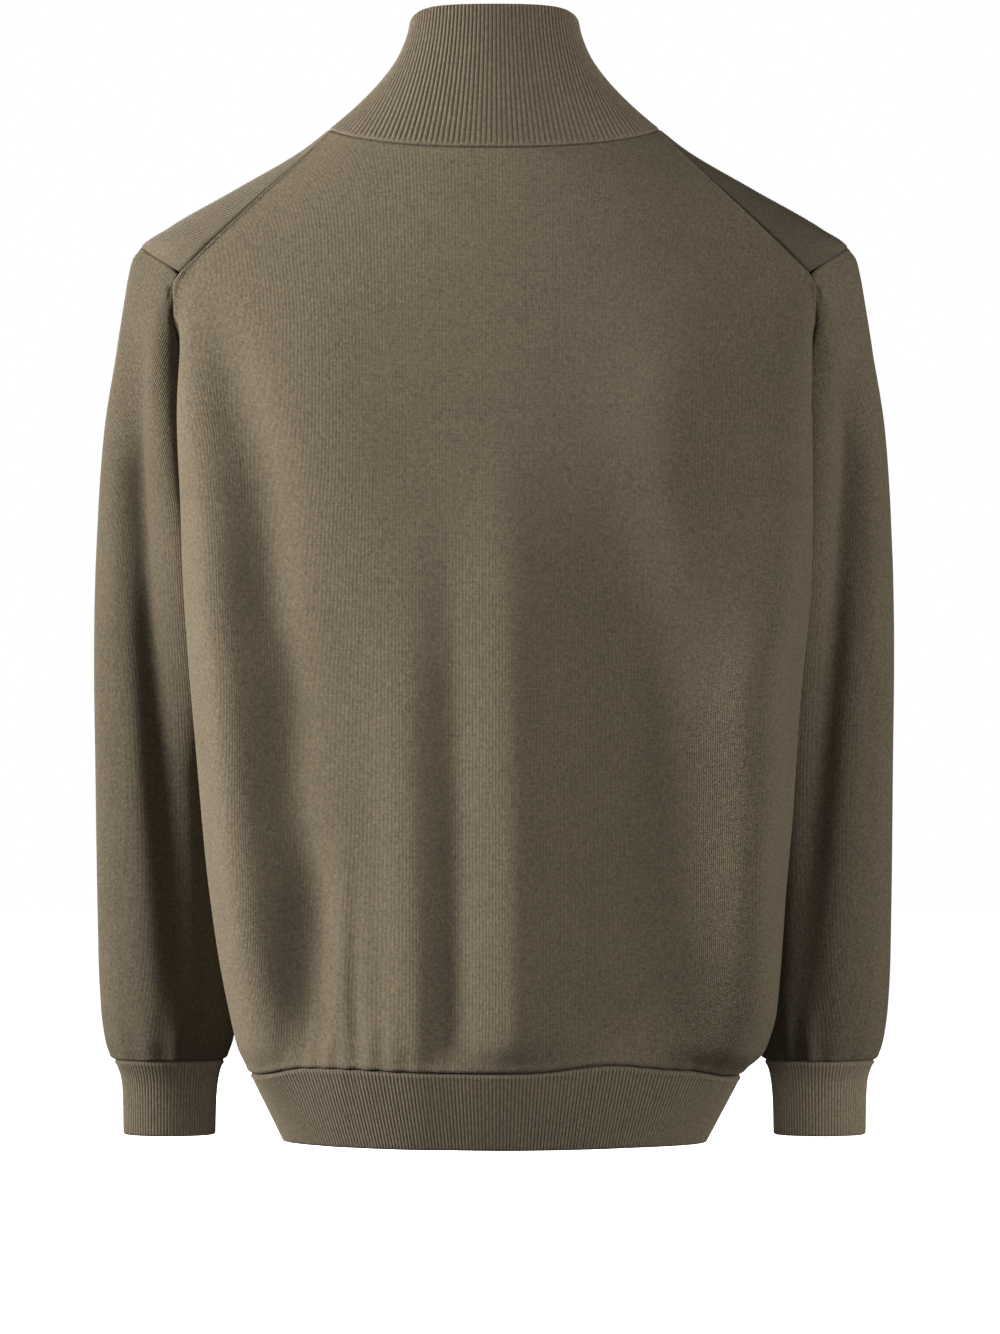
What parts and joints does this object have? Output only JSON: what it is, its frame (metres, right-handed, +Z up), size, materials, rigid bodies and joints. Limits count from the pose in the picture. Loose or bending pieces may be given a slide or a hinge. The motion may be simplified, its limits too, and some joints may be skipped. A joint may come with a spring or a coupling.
{
  "type": "quarter zip sweater",
  "caption": "Long-sleeved fine-knit sweater in taupe brown, filled out as worn, with a ribbed stand collar, a quarter zip in front, saddle shoulders, ribbed cuffs and hem.",
  "frame": {"origin": "midway between the two sides of the neck at shoulder height, where the garment is held up by its shoulders", "axes": "+Z up towards the collar, the front with the zip faces -Y, the back faces +Y, the wearer's left is +X"},
  "size_m": [0.5506, 0.232, 0.773],
  "materials": {
    "knit": "fine matte knit",
    "rib": "matte ribbed knit",
    "tape": "woven tape",
    "metal": "dull dark metal"
  },
  "bodies": {
    "garment": {"back_panel": "knit", "front_panel": "knit", "shoulder_strap_left": "knit", "shoulder_strap_right": "knit", "sleeve_left": "knit", "sleeve_right": "knit", "cuff_left": "rib", "cuff_right": "rib", "hem_band": "rib", "collar": "rib", "zip_tape_left": "tape", "zip_tape_right": "tape", "zip_teeth_left": "metal", "zip_teeth_right": "metal", "zip_stop": "metal", "zip_slider": "metal"},
    "pull": {"zip_pull": "metal"}
  },
  "joints": [
    {"name": "pull_hinge", "type": "hinge", "parent": "garment", "child": "pull", "pos_m": [0, -0.0857, 0.023], "axis": [-1, 0, 0], "range_deg": [0, 160]}
  ]
}
